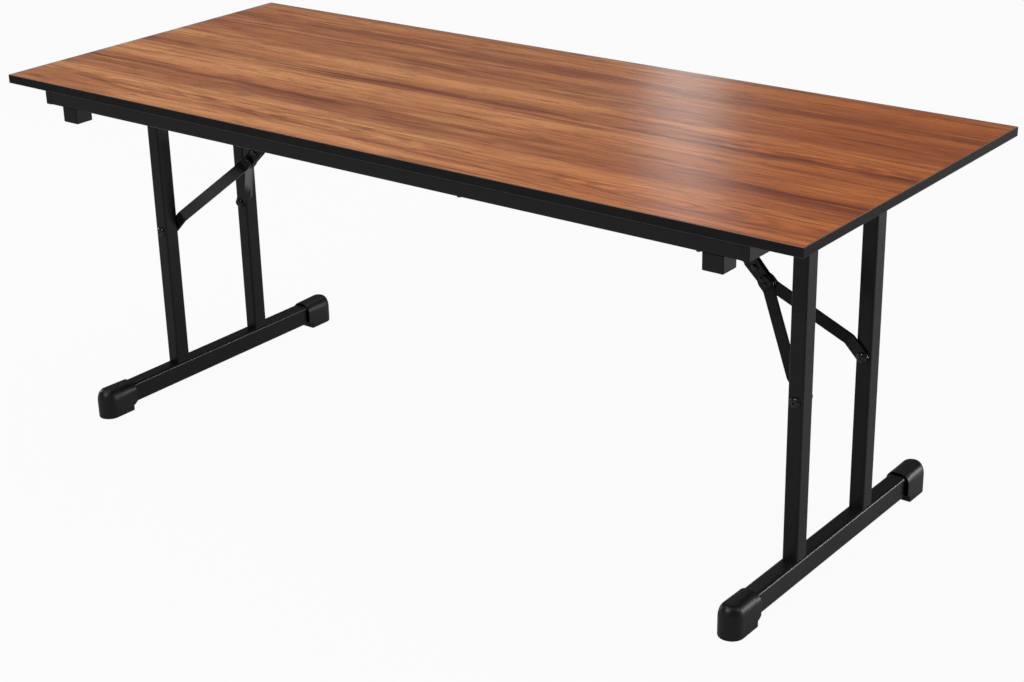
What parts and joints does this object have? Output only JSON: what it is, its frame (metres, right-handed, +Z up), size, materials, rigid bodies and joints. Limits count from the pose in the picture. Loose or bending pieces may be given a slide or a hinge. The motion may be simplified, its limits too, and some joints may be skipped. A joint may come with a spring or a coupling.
{
  "type": "folding banquet table",
  "caption": "Rectangular folding banquet table: wood-look laminated top on a black tube frame, T-foot legs with twin posts that fold flat under the top on forked braces.",
  "frame": {"origin": "on the floor under the middle of the table top", "axes": "+X along the table top, +Y towards the back, +Z up"},
  "size_m": [1.83, 0.76, 0.74],
  "materials": {
    "walnut_laminate": "satin",
    "core_board": "matte",
    "backing": "matte",
    "edge_plastic": "satin",
    "black_steel": "satin powder coat",
    "black_bolts": "satin",
    "black_plastic": "matte",
    "boot_plastic": "matte",
    "zinc_steel": "bright zinc"
  },
  "bodies": {
    "table_top": {"top_laminate": "walnut_laminate", "top_core": "core_board", "backing_sheet": "backing", "front_edge_band": "edge_plastic", "back_edge_band": "edge_plastic", "left_edge_band": "edge_plastic", "right_edge_band": "edge_plastic", "front_rail": "black_steel", "back_rail": "black_steel", "left_end_rail": "black_steel", "right_end_rail": "black_steel", "rail_end_plugs": "black_plastic", "front_left_stacking_block": "black_plastic", "front_right_stacking_block": "black_plastic", "back_left_stacking_block": "black_plastic", "back_right_stacking_block": "black_plastic", "frame_screws": "black_bolts", "block_screws": "black_bolts", "bracket_screws": "zinc_steel", "left_front_pivot_bracket": "black_steel", "left_back_pivot_bracket": "black_steel", "left_stay_bracket": "black_steel", "left_pivot_bolts": "zinc_steel", "left_stay_pin": "zinc_steel", "right_front_pivot_bracket": "black_steel", "right_back_pivot_bracket": "black_steel", "right_stay_bracket": "black_steel", "right_pivot_bolts": "zinc_steel", "right_stay_pin": "zinc_steel"},
    "right_leg": {"right_front_post": "black_steel", "right_back_post": "black_steel", "right_post_plugs": "black_plastic", "right_foot_bar": "black_steel", "right_front_boot": "boot_plastic", "right_back_boot": "boot_plastic", "right_brace_bolts": "black_bolts"},
    "right_brace": {"right_front_arm": "black_steel", "right_back_arm": "black_steel", "right_knee_clevis": "black_steel", "right_arm_rivets": "black_bolts", "right_knee_rivets": "black_bolts"},
    "right_stay": {"right_stay_strap": "black_steel"},
    "left_leg": {"left_front_post": "black_steel", "left_back_post": "black_steel", "left_post_plugs": "black_plastic", "left_foot_bar": "black_steel", "left_front_boot": "boot_plastic", "left_back_boot": "boot_plastic", "left_brace_bolts": "black_bolts"},
    "left_brace": {"left_front_arm": "black_steel", "left_back_arm": "black_steel", "left_knee_clevis": "black_steel", "left_arm_rivets": "black_bolts", "left_knee_rivets": "black_bolts"},
    "left_stay": {"left_stay_strap": "black_steel"}
  },
  "joints": [
    {"name": "right_leg_fold", "type": "hinge", "parent": "table_top", "child": "right_leg", "pos_m": [0.776, 0, 0.691], "axis": [0, 1, 0], "range_deg": [0, 90]},
    {"name": "right_brace_fold", "type": "hinge", "parent": "right_leg", "child": "right_brace", "pos_m": [0.776, 0, 0.36], "axis": [0, 1, 0], "range_deg": [0, 44.23]},
    {"name": "right_stay_fold", "type": "hinge", "parent": "table_top", "child": "right_stay", "pos_m": [0.454, 0, 0.691], "axis": [0, 1, 0], "range_deg": [-45.81, 0]},
    {"name": "left_leg_fold", "type": "hinge", "parent": "table_top", "child": "left_leg", "pos_m": [-0.776, 0, 0.691], "axis": [0, -1, 0], "range_deg": [0, 90]},
    {"name": "left_brace_fold", "type": "hinge", "parent": "left_leg", "child": "left_brace", "pos_m": [-0.776, 0, 0.36], "axis": [0, -1, 0], "range_deg": [0, 44.23]},
    {"name": "left_stay_fold", "type": "hinge", "parent": "table_top", "child": "left_stay", "pos_m": [-0.454, 0, 0.691], "axis": [0, -1, 0], "range_deg": [-45.81, 0]}
  ],
  "couplings": [
    {"joint": "right_brace_fold", "follows": "right_leg_fold", "ratio": 0.49123},
    {"joint": "right_stay_fold", "follows": "right_leg_fold", "ratio": -0.50877},
    {"joint": "left_brace_fold", "follows": "left_leg_fold", "ratio": 0.49123},
    {"joint": "left_stay_fold", "follows": "left_leg_fold", "ratio": -0.50877}
  ]
}
